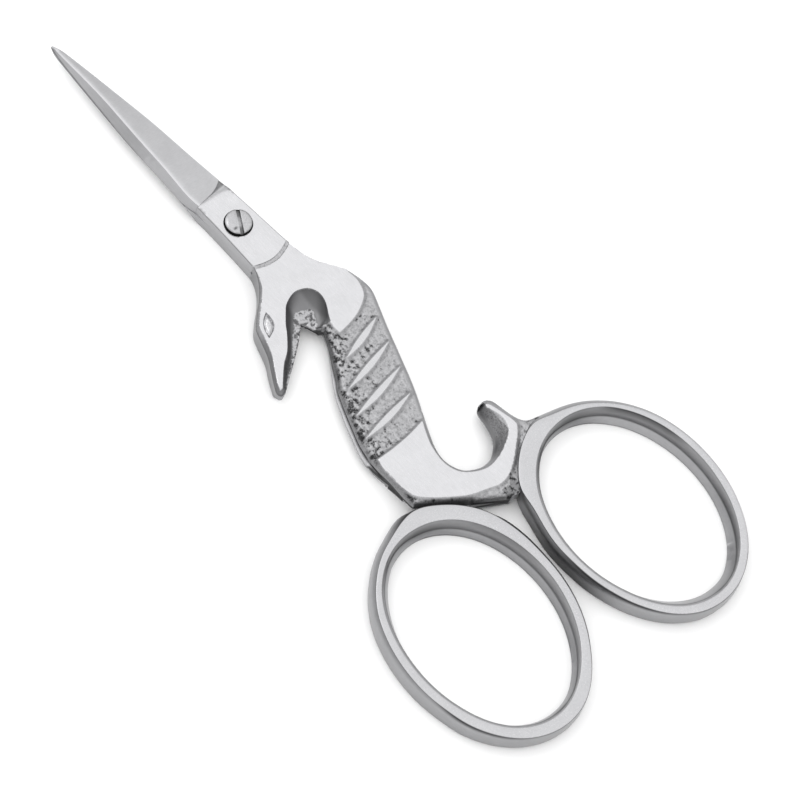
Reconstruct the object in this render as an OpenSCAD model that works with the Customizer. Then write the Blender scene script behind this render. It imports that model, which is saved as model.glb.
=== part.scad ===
// Figural embroidery scissors, 4 inch pattern.
// Two mirror-stacked levers turn on one slotted pivot screw.
// Origin on the pivot axis, on the plane the scissors rest on.
// +Y runs to the blade tips, +Z through the thickness.

/* [Stack] */
// Thickness of both levers together, and of each finger bow
stack = 3.2; // [2.6:0.1:4]
// Gap between the two levers at the mating plane
leaf_gap = 0.06; // [0.04:0.01:0.12]
// Gap left beside a full-thickness bow when the scissors are closed
shut_gap = 0.25; // [0.15:0.05:0.4]

/* [Blades] */
// Distance from the pivot axis to the blade tips
blade_reach = 31.4; // [24:0.2:36]
// Width of the polished land along the spine
land = 0.3; // [0.2:0.05:0.6]

/* [Pivot] */
// Diameter of the screw shank
shank_d = 2.2; // [1.8:0.1:2.6]
// Radial clearance of the front lever on the shank
pivot_play = 0.04; // [0.02:0.01:0.08]
// Diameter of the screw head
head_d = 3.4; // [3:0.1:4]
// Height of the screw head above the front face
head_h = 0.6; // [0.4:0.05:0.9]
// Angle of the screwdriver slot from +X
slot_turn = 58; // [0:1:180]

/* [Finger bows] */
// Clear half width of each bow at its faces
bow_half_w = 10; // [9:0.1:11]
// Clear half length of each bow at its faces
bow_half_l = 13.7; // [12.5:0.1:14.5]
// Width of the polished face at the side of a bow
rim_side = 0.95; // [0.7:0.05:1.3]
// Width of the polished face at the top and bottom of a bow
rim_end = 1.6; // [1.2:0.05:2]
// How far the middle of the rim swells past its faces
rim_swell = 0.7; // [0.4:0.05:0.75]

/* [Figure] */
// Depth of the cast ground below the polished faces
relief = 0.5; // [0.2:0.05:0.8]
// Widest part of a polished rib on the trunk
rib_w = 0.9; // [0.6:0.1:1.4]

/* [Hidden] */

leaf = (stack - leaf_gap) / 2;       // thickness of one lever
front_z = stack - leaf;              // mating face of the front lever
round_steps = 96;                    // sides of a bow outline
cut = 0.5;                           // overshoot of cutting shapes
edge_t = 0.1;                        // thickness left at a cutting edge
polish = [0.87, 0.87, 0.88];
ground = [0.74, 0.74, 0.76];
cast_grey = [0.6, 0.6, 0.62];
screw_grey = [0.8, 0.8, 0.81];

// ---- blades: the ground faces start at a slanted plunge line and end at the tip
plunge_spine = [-2.3, 4.4];
plunge_edge = [2.7, 5.8];
tip = [-0.7, blade_reach];
blade_run = tip.y - plunge_edge.y;
// Stations as [share of the run, half width, share of the lever's thickness, lean of the spine]
STATIONS = [[0.03, 2.68, 0.97, 0.5], [0.2, 2.35, 0.9, 0.64], [0.45, 1.93, 0.71, 0.82],
            [0.63, 1.42, 0.56, 0.78], [0.8, 0.95, 0.38, 0.6], [0.92, 0.55, 0.25, 0.3],
            [1, 0.1, 0.13, 0.05]];

// ---- outlines of one lever, front view; the joint ends at an engraved arc
seam_left = [-2.5, -5.4];
seam_right = [2.9, -5.4];
seam_sag = 0.7;
neck_line = -13.5;
haunch_line = -32;
notch_top = [-1.8, neck_line];
neck_right = [6.4, neck_line];
hip_left = [-9.1, haunch_line];
hip_right = [0, haunch_line];
// the web where a figure runs into its bow
front_web = [[8.9, -40.1], [4.4, -43.2], [0.5, -45.9]];
back_web = [[-9.4, -38.9], [-3.5, -43.55]];

// ---- bows, as [centre, tilt]
FRONT_BOW = [[11.3, -56.1], -1];
BACK_BOW = [[-12.7, -55.35], -9];

// Point between b and c on a Catmull-Rom curve through a, b, c, d
function between(a, b, c, d, t) =
    0.5 * (2*b + (c - a)*t + (2*a - 5*b + 4*c - d)*t*t + (3*b - a - 3*c + d)*t*t*t);
// Smooth open curve through the points p, ends included
function curve(p, n = 4) = let (last = len(p) - 1)
    [for (i = [0:last - 1], k = [0:n - 1])
        between(p[max(i - 1, 0)], p[i], p[i + 1], p[min(i + 2, last)], k / n), p[last]];
// The same points from the far end
function flip(p) = [for (i = [len(p) - 1:-1:0]) p[i]];
// Shallow arc from a to b that sags by s to the right of the way
function sagging(a, b, s, n = 10) = let (side = [b.y - a.y, a.x - b.x] / norm(b - a))
    [for (k = [0:n]) let (t = k / n) a + (b - a)*t + side*s*sin(180*t)];
// Pointed lens from a to b, w wide in its middle
function lens(a, b, w) = concat(sagging(a, b, w/2), sagging(b, a, w/2));
// Ellipse with half axes h around c, turned by tilt
function oval(c, h, tilt) =
    [for (k = [0:round_steps - 1]) let (t = 360*k/round_steps, x = h.x*cos(t), y = h.y*sin(t))
        c + [x*cos(tilt) - y*sin(tilt), x*sin(tilt) + y*cos(tilt)]];
// Points moved by d along the direction n
function moved(p, d, n) = [for (q = p) q + d*n];

// Outline of the seahorse head: crown, snout and the near side of the throat notch
crown_right = curve([seam_right, [3.3, -7.9], [4.1, -9.6], [5.9, -12.3], neck_right]);
throat = curve([notch_top, [-2.7, -13.8], [-5.6, -16.1], [-8, -17.8], [-10.1, -19.1]]);
face_left = curve([[-11, -19.3], [-10.2, -17.3], [-8.9, -15], [-7.9, -12.6], [-7.1, -10.8],
                   [-4.9, -8.9], [-3.5, -7.7], seam_left]);
seam = sagging(seam_left, seam_right, seam_sag);
head_outline = concat(seam, crown_right, throat, face_left);

back_line = curve([neck_right, [6.6, -14.6], [5.6, -18.2], [3.5, -23.9], [1.9, -27.9], hip_right]);
belly_line = curve([hip_left, [-8.7, -30], [-6.8, -25.2], [-3.9, -20.1], [-1.9, -16.5], notch_top]);
trunk_outline = concat(back_line, belly_line);

tail_curl = curve([hip_right, [-1.6, -35.3], [-2, -37.4], [-1.2, -39.6], [1.2, -40.8],
                   [3.3, -40], [4.4, -37.6], [4.8, -35.6], [5.9, -34.6]]);
tail_back = curve([[5.9, -34.6], [7.1, -35.4], [7.8, -37.9], front_web[0]]);
rump = curve([back_web[0], [-9.3, -37], [-9.2, -34.5], hip_left]);
web_side = [0.62, 0.785];     // square to back_web, into the haunch
groove_side = [-0.57, 0.82];  // square to front_web, into the haunch
front_haunch_outline = concat(tail_curl, tail_back, front_web,
    moved(flip(back_web), shut_gap, web_side), rump);
back_haunch_outline = concat(tail_curl, moved(tail_back, shut_gap, groove_side),
    moved([front_web[1], front_web[2]], shut_gap, groove_side), flip(back_web), rump);

// Raised polished faces, a little inside the outline
face_top = sagging([-2.35, -5.85], [2.7, -5.85], seam_sag);
shoulder_face = concat(face_top,
    curve([[3.1, -7.9], [3.9, -9.7], [5.5, -12.2], [5.5, -14.6], [4, -16.7], [1.8, -17.5],
           [-0.4, -17.8]]),
    curve([[-0.2, -15.6], [1.2, -12.9], [0.6, -11.3], [-1.3, -10.6], [-3.6, -12],
           [-5.5, -14.4], [-7.4, -16.1], [-9.4, -17.8]]),
    curve([[-10.6, -18.8], [-9.9, -17.3], [-8.6, -15], [-7.6, -12.7], [-6.8, -11], [-4.8, -9.2],
           [-3.3, -8], [-2.6, -6.8]]));
RIBS = [[[4.2, -19.1], [-1.7, -20.6]], [[3.2, -22.3], [-4.3, -23.7]],
        [[2, -25.5], [-6, -26.8]], [[0.6, -28.7], [-7.1, -29.6]]];
haunch_face = concat(
    curve([[-0.6, -32.2], [-1.9, -34.9], [-2.3, -37.4], [-1.3, -39.9], [1.7, -41.3],
           [5.3, -40.2], [6.8, -37.4], [5.9, -35]]),
    curve([[5.9, -35], [7.3, -37], [7.6, -39.4], [5.1, -41.8], [2, -43.4], [-2.7, -42.3],
           [-6.3, -40], [-8.1, -37.8], [-8.3, -34.6], [-7.9, -32.3]]));
eye = lens([-5.3, -10.5], [-7.1, -13], 1.1);

// ---- shapes
// A flat piece of a lever, from its mating face up to height h
module plate(outline, h = leaf) linear_extrude(h) polygon(outline);

// Sets a lever piece, drawn on its mating face, at the front or the back
module at_front() translate([0, 0, front_z]) children();
module at_back() translate([0, 0, leaf]) mirror([0, 0, 1]) children();

// Middle of the closed blades at a distance y from the pivot
function middle(y) = tip.x*(y - plunge_edge.y)/blade_run;
// Cross-section of a blade as spine foot, spine top, land, cutting edge top and foot
function section(s, e, t, lean) =
    let (across = (e - s)/norm(e - s), flat = min(land, norm(e - s)/4))
    [[s.x, s.y, 0], concat(s + across*lean, t), concat(s + across*(lean + flat), t),
     [e.x, e.y, edge_t], [e.x, e.y, 0]];
// A blade point moved to the other lever, where edge and spine change sides
function swapped(p) = [2*middle(p.y) - p.x, p.y, p.z];

module blade_solid(other = false) {
    rows = concat([section(plunge_spine, plunge_edge, leaf, 0)],
        [for (s = STATIONS) let (y = plunge_edge.y + blade_run*s[0], c = [middle(y), y])
            section(c - [s[1], 0], c + [s[1], 0], leaf*s[2], s[3])]);
    pts = [for (r = rows, p = r) other ? swapped(p) : p];
    n = 5;
    top = len(rows) - 1;
    ends = [[for (k = [0:n - 1]) k], [for (k = [n - 1:-1:0]) top*n + k]];
    sides = [for (i = [0:top - 1], k = [0:n - 1]) let (a = i*n + k, b = i*n + (k + 1) % n)
        for (tri = [[a, a + n, b], [b, a + n, b + n]]) tri];
    faces = concat(ends, sides);
    polyhedron(pts, other ? [for (f = faces) flip(f)] : faces);
}

// The joint: the flat full-thickness part around the pivot
module joint_solid(bore_d, other = false) {
    spine_foot = [plunge_spine.x, plunge_spine.y, 0];
    edge_foot = [plunge_edge.x, plunge_edge.y, 0];
    ends = other ? [swapped(edge_foot), swapped(spine_foot)] : [spine_foot, edge_foot];
    difference() {
        plate(concat([for (e = ends) [e.x, e.y]], [[2.7, 1.5], [2.7, -2]], flip(seam), [[-2.3, -1]]));
        translate([0, 0, -cut]) cylinder(h = leaf + 2*cut, d = bore_d, $fn = 64);
    }
}

module head_solid() difference() {
    union() {
        plate(head_outline, leaf - relief);
        intersection() {
            plate(head_outline);
            plate(shoulder_face);
        }
    }
    translate([0, 0, leaf - relief/2]) plate(eye);
}

module trunk_solid() {
    plate(trunk_outline, leaf - relief);
    intersection() {
        plate(trunk_outline);
        union() {
            plate(shoulder_face);
            for (r = RIBS) plate(lens(r[0], r[1], rib_w));
        }
    }
}

module haunch_solid(outline) {
    plate(outline, leaf - relief);
    intersection() {
        plate(outline);
        plate(haunch_face);
    }
}

// One finger bow: a rim whose middle swells past its two faces
module rim(bow, swell, z0, z1) translate([0, 0, z0]) linear_extrude(z1 - z0) difference() {
    polygon(oval(bow[0], [bow_half_w + rim_side + swell, bow_half_l + rim_end + swell], bow[1]));
    polygon(oval(bow[0], [bow_half_w - swell, bow_half_l - swell], bow[1]));
}

// The web joins the rim to its haunch at full thickness; the haunch stays clear of both
module bow_solid(bow, web, haunch) {
    face_t = stack/4;
    difference() {
        union() {
            rim(bow, 0.2, 0, stack);
            rim(bow, rim_swell, face_t, stack - face_t);
            linear_extrude(stack) difference() {
                polygon(web);
                polygon(oval(bow[0], [bow_half_w, bow_half_l], bow[1]));
            }
        }
        translate([0, 0, -cut]) linear_extrude(stack + 2*cut) polygon(haunch);
    }
}

// ---- nodes
module back_blade() color(ground) at_back() blade_solid(true);
module back_joint() color(polish) at_back() joint_solid(shank_d, true);
module back_head() color(polish) at_back() head_solid();
module back_trunk() color(cast_grey) at_back() trunk_solid();
module back_haunch() color(polish) at_back() haunch_solid(back_haunch_outline);
module back_bow() color(polish)
    bow_solid(BACK_BOW, concat(back_web, [[-2.7, -45.6], [-5, -46], [-13, -42], [-11.5, -40]]),
        back_haunch_outline);

module front_blade() color(ground) at_front() blade_solid();
module front_joint() color(polish) at_front() joint_solid(shank_d + 2*pivot_play);
module front_head() color(polish) at_front() head_solid();
module front_trunk() color(cast_grey) at_front() trunk_solid();
module front_haunch() color(polish) at_front() haunch_solid(front_haunch_outline);
module front_bow() color(polish)
    bow_solid(FRONT_BOW, concat(front_web, [[0.2, -48.5], [3, -48], [9, -43], [12, -41]]),
        front_haunch_outline);

module pivot_screw() color(screw_grey) {
    rim_h = head_h*0.55;
    slot_w = 0.65;
    slot_depth = head_h*0.6;
    difference() {
        union() {
            cylinder(h = stack, d = shank_d, $fn = 64);
            translate([0, 0, stack]) rotate_extrude($fn = 64)
                polygon([[0, 0], [head_d/2, 0], [head_d/2, rim_h], [head_d*0.36, head_h*0.9],
                         [head_d*0.2, head_h], [0, head_h]]);
        }
        translate([0, 0, stack + head_h]) rotate([0, 0, slot_turn])
            cube([head_d + cut, slot_w, 2*slot_depth], center = true);
    }
}

back_blade();
back_joint();
back_head();
back_trunk();
back_haunch();
back_bow();
front_blade();
front_joint();
front_head();
front_trunk();
front_haunch();
front_bow();
pivot_screw();
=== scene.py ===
"""Figural embroidery scissors: two levers, mirrored in thickness, on a slotted screw."""
import math
from types import SimpleNamespace

import bpy
import numpy as np
from mathutils import Matrix, Vector, noise
from mathutils.geometry import delaunay_2d_cdt


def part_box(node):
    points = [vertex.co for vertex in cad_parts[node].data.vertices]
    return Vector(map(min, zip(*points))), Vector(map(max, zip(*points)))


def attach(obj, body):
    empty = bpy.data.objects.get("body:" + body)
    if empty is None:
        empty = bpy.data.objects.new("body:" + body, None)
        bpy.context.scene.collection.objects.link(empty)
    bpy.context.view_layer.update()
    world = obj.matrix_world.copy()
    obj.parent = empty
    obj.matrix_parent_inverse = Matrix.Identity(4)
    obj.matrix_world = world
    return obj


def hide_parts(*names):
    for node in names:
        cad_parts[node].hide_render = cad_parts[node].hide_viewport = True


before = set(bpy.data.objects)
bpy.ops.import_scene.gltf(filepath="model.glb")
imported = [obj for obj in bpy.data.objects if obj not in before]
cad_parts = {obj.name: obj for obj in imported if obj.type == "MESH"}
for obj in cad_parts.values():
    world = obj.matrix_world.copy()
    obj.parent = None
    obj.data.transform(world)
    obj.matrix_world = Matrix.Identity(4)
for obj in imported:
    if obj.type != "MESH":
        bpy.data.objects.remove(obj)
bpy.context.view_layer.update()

# ---- frame, in millimetres; a lever is drawn on its mating face with its relief towards +Z
MM = 0.001
FRONT_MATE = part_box("front_joint")[0].z / MM
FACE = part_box("front_joint")[1].z / MM
BACK_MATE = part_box("back_joint")[1].z / MM
LEAF = FACE - FRONT_MATE
SCREW_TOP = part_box("pivot_screw")[1].z / MM
HEAD_R = (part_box("pivot_screw")[1].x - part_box("pivot_screw")[0].x) / 2 / MM
TIP_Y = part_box("front_blade")[1].y / MM
GROUND = 0.0

# ---- seam, plunge and blade, in mm, as seen from the front; the front lever's cutting edge is on the right
SEAM_LEFT, SEAM_RIGHT, SEAM_SAG = (-2.5, -5.4), (2.9, -5.4), 0.7
PLUNGE = [(-2.3, 4.5), (-1.2, 4.72), (-0.2, 4.9), (0.85, 5.14), (1.85, 5.55), (2.7, 6.05)]
PLUNGE_CREASE = [(-2.3, 4.46), (-0.45, 4.7), (1.05, 4.8), (2.7, 4.85)]
PLUNGE_FACE = [(-2.3, 4.4), (-0.8, 4.33), (0.4, 4.2), (1.4, 4.05), (2.0, 3.8), (2.7, 3.3)]
# depth of the crease between the two facets of the plunge
CREASE_DEPTH = 0.55
SPINE_FOOT = [(-2.3, 4.5), (-2.66, 6.4), (-2.55, 9.9), (-2.42, 13.6), (-2.2, 17.8), (-1.85, 21.6),
              (-1.48, 26), (-1.1, 29.7), (-0.75, TIP_Y)]
LAND_EDGE = [(-2.1, 4.5), (-2.2, 6.6), (-1.84, 10.7), (-1.54, 15.4), (-1.26, 19), (-1.02, 22.3),
             (-0.9, 26), (-0.84, 29.5), (-0.72, TIP_Y)]
CUT_EDGE = [(2.7, 6.05), (2.5, 7.9), (2.2, 11.1), (1.72, 16.6), (1.0, 22.2), (0.6, 25.2), (0.1, 28.7),
            (-0.2, 30.4), (-0.6, TIP_Y)]
# width of the land, heights of the cutting edge and the spine's foot, thickness by y
LAND_W = 0.28
EDGE_H = 0.08
FOOT_H = 0.12
THICKNESS = [(4.4, 1.57), (6.6, 1.54), (10.7, 1.42), (15.4, 1.2), (19, 1.02), (22.3, 0.85), (26, 0.62),
             (29, 0.42), (TIP_Y, 0.22)]
# shift of a blade's middle line at its tip, and the y where it begins
BLADE_LEAN = -0.7
LEAN_START = 5.8

# ---- seat of the screw, groove of the seam, gap between a lever and the meeting plane
POCKET_DEPTH = 0.35
POCKET_R = HEAD_R + 0.05
FRONT_BORE, BACK_BORE, SHANK_R = 1.14, 1.1, 1.08
GROOVE_W = 0.26
GROOVE_FLANK = 0.07
GROOVE_DEPTH = 0.1
MEET_GAP = 0.008
# painted shade on the rims of the joint and of the head: the dark reflection of their rounded edges
EDGE_DIRT = 0.75

# ---- outline of the figure, clockwise from the seam; names that end in _BACK are the back lever's
CROWN = [SEAM_RIGHT, (3.3, -7.9), (4.1, -9.6), (5.1, -10.9), (6.0, -12.4), (6.5, -13.9)]
BACK = [(6.5, -13.9), (6.6, -15.9), (5.75, -18.2), (4.75, -20.6), (3.5, -23.9), (1.95, -27.9), (0.5, -31)]
HOOK = [(0.5, -31), (-0.75, -33.5), (-1.65, -35.6), (-1.95, -37.5), (-1.2, -39.5), (0, -40.35), (1.2, -40.7),
        (2.6, -40.5), (3.9, -39.6), (4.65, -38.5), (5.1, -36.9), (5.35, -35.5), (5.8, -34.85), (6.4, -34.65)]
TAIL = [(6.4, -34.65), (7.1, -34.85), (7.6, -35.5), (7.85, -36.8), (8.1, -38.1), (8.45, -39.1), (9.1, -39.8),
        (10.2, -40.15)]
TAIL_START_BACK, TAIL_END_BACK = (6.9, -34.8), (8.7, -39.6)
HOOK_BACK = HOOK[:-5] + [(5.1, -38.5), (5.75, -36.9), (6.1, -35.6), (6.4, -35.0), TAIL_START_BACK]
FRONT_WEB = [(10.2, -40.15), (10.4, -41.2), (9.0, -41.15), (7.75, -41.35), (6.6, -42.0), (5.05, -43.0),
             (3.9, -43.95), (2.95, -45.0), (1.9, -45.9), (0.7, -45.6)]
UNDER_LEFT, UNDER_RIGHT = (-8.6, -39.2), (-3.1, -43.1)
UNDER_BACK = [(-3.4, -43.3), (-8.25, -38.8)]
WEB_SHIFT_BACK = (-0.342, 0.492)
NOTCH_CORNER, NOTCH_TOP = (-1.35, -16.25), (-2.65, -13.9)
RUMP = [(-8.65, -37.4), (-8.6, -35.3), (-8.62, -33.4), (-8.45, -31.7)]
BELLY = [(-8.45, -31.7), (-8.0, -29.6), (-7.25, -27.6), (-6.45, -25.6), (-5.85, -24.2), (-5.2, -22.8),
         (-4.35, -21.6), (-3.35, -19.9), (-2.3, -18.2), (-1.75, -17.1), NOTCH_CORNER]
RUMP_BACK = [(-8.2, -37.6), (-8.25, -36.4), (-8.4, -35.1), (-8.75, -33.5), (-8.9, -32.1)]
BELLY_BACK = [(-8.9, -32.1), (-8.7, -30.6), (-8.25, -29.3), (-7.7, -27.8), (-7.2, -26.4), (-6.55, -25.0),
              (-6.0, -23.7), (-5.35, -22.6), (-4.7, -21.6), (-3.5, -19.95), (-2.3, -18.2), (-1.75, -17.1),
              NOTCH_CORNER]
NOTCH = [NOTCH_CORNER, (-2.05, -15.3), (-2.35, -14.5), NOTCH_TOP]
THROAT = [NOTCH_TOP, (-3.5, -14.55), (-4.45, -15.35), (-6.1, -16.55), (-7.7, -17.6), (-8.9, -18.4),
          (-10.2, -19.25)]
FACE_LEFT = [(-10.2, -19.25), (-10.95, -19.45), (-11.25, -18.9), (-10.8, -17.9), (-9.75, -16.2),
             (-8.9, -14.8), (-8.2, -12.95), (-7.65, -11.5), (-7.1, -10.8), (-5.95, -9.75), (-5.0, -9.0),
             (-3.75, -7.75), (-2.9, -6.45), SEAM_LEFT]
SNOUT_BACK = [(-8.75, -18.1), (-9.75, -18.6), (-10.3, -18.75), (-10.75, -18.2), (-10.45, -17.5)]
LEDGE = [(-9.6, -18.75), (-8.3, -17.85), (-6.95, -16.8), (-5.35, -15.35), (-4.15, -14.1), (-3.1, -13.15),
         (-2.55, -12.65), (-2.0, -12.5), (-1.0, -12.95), (-0.5, -13.35), (-0.7, -14.05), (-1.2, -14.9),
         (-1.35, -15.7), (-1.3, -16.2)]

# ---- polished faces of the figure
SHOULDER = [(5.75, -12.35), (5.85, -13.4), (5.75, -14.5), (5.2, -15.9), (4.0, -16.8), (2.5, -17.4),
            (0.9, -17.7), (-0.4, -17.8)]
SHOULDER_INNER = [(-0.4, -17.8), (-0.4, -16.7), (0, -15.6), (0.5, -14.8)]
ARCH = [(0.5, -14.8), (0.95, -14.0), (1.2, -13.1), (1.15, -12.2), (0.6, -11.3), (-0.3, -10.8), (-1.3, -10.7),
        (-2.7, -11.2), (-3.6, -12.0), (-4.6, -13.1), (-5.5, -14.3), (-6.8, -15.7), (-8.1, -16.6),
        (-9.2, -17.6), (-10.4, -18.8)]
SNOUT_LEFT = [(-10.8, -18.9), (-10.4, -17.9), (-9.3, -16.2), (-8.4, -14.8), (-7.7, -13), (-7.2, -11.6),
              (-6.9, -10.95), (-5.8, -9.95), (-4.8, -9.15), (-3.55, -7.95), (-2.85, -6.6), (-2.52, -5.6)]
CROWN_FACE = [(2.88, -5.6), (3.22, -7.9), (4.0, -9.65), (5.0, -11.0), (5.75, -12.35)]
RIBS = [[(4.2, -19.1), (-1.9, -20.7)], [(3.2, -22.3), (-4.4, -23.75)], [(2.0, -25.5), (-6.1, -26.85)],
        [(0.6, -28.7), (-7.2, -29.65)]]
# width and sag of a rib's crest, and the y range where every face is a rib
RIB_W = 0.7
RIB_SAG = 0.5
RIB_BAND = (-31.5, -18.5)
HAUNCH_TOP = [(-0.75, -32.2), (-3.0, -32.5), (-5.6, -32.6), (-8.0, -32.5)]
HAUNCH_RIM = [(-8.0, -32.5), (-8.3, -33.4), (-8.4, -34.8), (-8.35, -36.5), (-8.1, -37.9), (-7.6, -38.9),
              (-5.8, -40.5), (-3.6, -42.05), (-2.3, -42.7), (-0.5, -43.3), (0.7, -43.7), (2.2, -43.55),
              (3.7, -42.8), (5.5, -41.45), (6.9, -40.2), (7.55, -39.4)]
TAIL_FACE = [(7.55, -39.4), (7.5, -38.5), (7.15, -36.9), (6.9, -36.0), (6.7, -35.5), (6.4, -35.35)]
TAIL_INNER = [(6.4, -35.35), (6.3, -35.6), (6.75, -36.9), (6.85, -38.0), (6.5, -39.1), (5.7, -39.9),
              (4.4, -40.6), (2.9, -41.15), (1.3, -41.35), (-0.3, -40.8), (-1.6, -39.8), (-2.2, -38.7),
              (-2.4, -37.5), (-2.3, -36.2), (-2.0, -34.9), (-1.45, -33.6), (-0.75, -32.2)]
EYE_TOP, EYE_BOTTOM = (-5.3, -10.45), (-7.3, -13.2)
EYE_BULGE = (0.5, 0.8)

# ---- relief of the figure: rounded edges as names, width and drop
ROUNDED = [(("crown", "back"), 0.7, 0.5), (("hook",), 0.4, 0.5), (("belly", "notch"), 0.9, 0.85),
           (("rump", "under"), 0.45, 0.85), (("tail",), 0.35, 0.3), (("gap",), 0.5, 0.7)]
LEDGE_DROP = 0.25
LEFT_ROUND_FRONT, LEFT_ROUND_BACK = (0.6, 0.42), (0.2, 0.12)
SMOOTH_EDGES = ("crown", "left", "back", "hook", "tail")
ROUGH_EDGES = ("belly", "rump", "under", "gap")
ALONG_DEPTH = 0.33
THROAT_DEPTH = 1.2
HOOK_DEPTH = 1.3
BEVEL_DEPTH = 0.05
EYE_DEPTH = 0.16
LEAST_HEIGHT = 0.12
FINE_STEP, COARSE_STEP = 0.105, 0.6
# reach of the throat from the ledge, where the arch ends, width of the groove by the bow
THROAT_REACH = 2.6
ARCH_END = (1.3, -16.4)
BOW_GROOVE_W = 1.3

# ---- finger bows: centre, tilt in degrees, half axes of the clear opening
FRONT_BOW = dict(centre=(11.3, -56.15), tilt=-0.9, half=(10.0, 13.7))
BACK_BOW = dict(centre=(-12.7, -55.35), tilt=-8.5, half=(10.03, 13.7))
# edges of the polished face, as mm outside the clear opening, by angle from the bow's own +X
FRONT_BOW["inner"] = [
    (0, 0), (30, 0.22), (55, 0.35), (75, 0.2), (90, 0.05), (105, 0.05), (140, 0.2), (180, 0.08),
    (210, -0.05), (245, 0.08), (270, 0), (300, -0.12), (345, -0.1)]
FRONT_BOW["outer"] = [
    (0, 0.82), (30, 0.96), (60, 0.85), (75, 0.92), (84, 1.05), (90, 1.25), (95, 1.65), (100, 2.15),
    (105, 2.22), (135, 2.22), (140, 2.05), (144, 1.65), (149, 1.25), (156, 1.08), (168, 1.0), (180, 0.82),
    (205, 0.8), (225, 0.95), (240, 1.1), (255, 1.18), (270, 1.05), (300, 0.85), (330, 0.76)]
BACK_BOW["inner"] = [
    (0, 0), (30, 0.1), (60, 0.2), (90, 0.15), (120, 0.4), (138, 0.48), (150, 0.42), (180, 0.1),
    (210, -0.08), (240, 0), (270, -0.1), (300, -0.28), (315, -0.3), (345, -0.1)]
BACK_BOW["outer"] = [
    (0, 1.02), (15, 1.12), (25, 1.4), (35, 1.7), (45, 2.0), (52, 2.1), (72, 2.15), (80, 2.3), (86, 2.3),
    (91, 2.0), (96, 1.68), (102, 1.35), (108, 1.16), (130, 1.12), (150, 1.25), (180, 1.08), (205, 1.0),
    (218, 1.2), (240, 1.3), (270, 1.4), (288, 1.36), (300, 1.2), (310, 1.0), (322, 0.85)]
# reach of the inner wall's ledge into the opening, and how much less it is at the end near the pivot
FRONT_BOW["ledge"] = (0.8, 0.5)
BACK_BOW["ledge"] = (0.68, 0.36)
# where the bar's outer side stays clear of the other lever
FRONT_BOW["tight"] = [(99, 0), (107, 1), (138, 1), (146, 0)]
BACK_BOW["tight"] = [(38, 0), (48, 1), (85, 1), (93, 0)]
# painted shade on the inner edge, the outer edge, the outer side and the crease of the inner wall, by angle:
# dark reflections, and the other bow's shadow on the outer side
FRONT_BOW["grime"] = dict(
    inner=[(8, 0), (20, 1), (52, 1), (62, 0), (70, 0.3), (130, 0.3), (150, 0)],
    outer=[(172, 0), (185, 1), (222, 1), (240, 0.2), (290, 0.2), (300, 0.4), (320, 0)],
    side=[(138, 0), (150, 0.9), (190, 1), (210, 0)],
    crease=[(60, 0), (78, 1), (125, 1), (145, 0), (262, 0), (280, 0.6), (340, 0.6), (350, 0)])
BACK_BOW["grime"] = dict(
    inner=[(10, 0), (25, 0.5), (50, 0.4), (62, 0), (90, 0.2), (120, 0.6), (150, 0.2), (170, 0)],
    outer=[(0, 0.9), (92, 1), (106, 0), (200, 0), (212, 1), (235, 0.8), (250, 0.1), (300, 0.2), (335, 0.8)],
    side=[(45, 0), (60, 0.8), (95, 0.8), (104, 0)],
    crease=[(60, 0), (85, 1), (120, 1), (140, 0), (255, 0), (280, 0.7), (310, 0.4), (330, 0)])


# ---- plane geometry
def shares(b, c, step):
    """Even shares of the way from b to c, about a step apart, without its end"""
    return np.linspace(0, 1, max(1, round(np.linalg.norm(c - b) / step)), endpoint=False)


def smooth(points, step=0.22):
    """Catmull-Rom curve through the points, with a point about every step"""
    p = np.vstack([points[:1], points, points[-1:]]).astype(float)
    out = []
    for a, b, c, d in zip(p, p[1:], p[2:], p[3:]):
        for t in shares(b, c, step):
            out.append(0.5 * (2 * b + (c - a) * t + (2 * a - 5 * b + 4 * c - d) * t**2
                              + (3 * b - a - 3 * c + d) * t**3))
    return np.array(out + [p[-1]])


def straight(points, step=0.22):
    """The polyline itself, with a point about every step"""
    p = np.array(points, float)
    out = []
    for b, c in zip(p, p[1:]):
        out += [b + (c - b) * t for t in shares(b, c, step)]
    return np.array(out + [p[-1]])


def sagging(a, b, sag, step=0.22):
    """Shallow arc from a to b that sags to the right of the way"""
    a, b = np.array(a, float), np.array(b, float)
    side = np.array([b[1] - a[1], a[0] - b[0]]) / np.linalg.norm(b - a)
    t = np.linspace(0, 1, max(4, round(np.linalg.norm(b - a) / step)))[:, None]
    return a + (b - a) * t + side * sag * np.sin(math.pi * t)


def ring(*parts):
    """Closed outline from curves that meet end to end"""
    p = np.vstack(parts)
    return p[np.linalg.norm(p - np.roll(p, 1, 0), axis=1) > 1e-4]


def circle(r, n=64):
    a = np.arange(n) * 2 * math.pi / n
    return r * np.stack([np.cos(a), np.sin(a)], 1)


def distance(p, line, closed=False):
    """Distance of each point of p from a polyline"""
    a = np.asarray(line, float)
    b = np.roll(a, -1, 0) if closed else a[1:]
    best = np.full(len(p), np.inf)
    for s, e in zip(a, b):
        d = e - s
        t = np.clip((p - s) @ d / max(d @ d, 1e-12), 0, 1)
        best = np.minimum(best, np.sum((p - s - t[:, None] * d) ** 2, 1))
    return np.sqrt(best)


def enclosed(p, edges):
    """Whether a ray from each point of p towards +X crosses an odd number of the edges"""
    odd = np.zeros(len(p), bool)
    for (x0, y0), (x1, y1) in edges:
        if y0 != y1:
            level = (p[:, 1] < y0) != (p[:, 1] < y1)
            odd ^= level & (p[:, 0] < x0 + (p[:, 1] - y0) * (x1 - x0) / (y1 - y0))
    return odd


def inside(p, outline):
    return enclosed(p, zip(outline, np.roll(outline, -1, 0)))


def ease(t):
    """0 to 1 with soft ends"""
    t = np.clip(t, 0, 1)
    return t * t * (3 - 2 * t)


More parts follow.
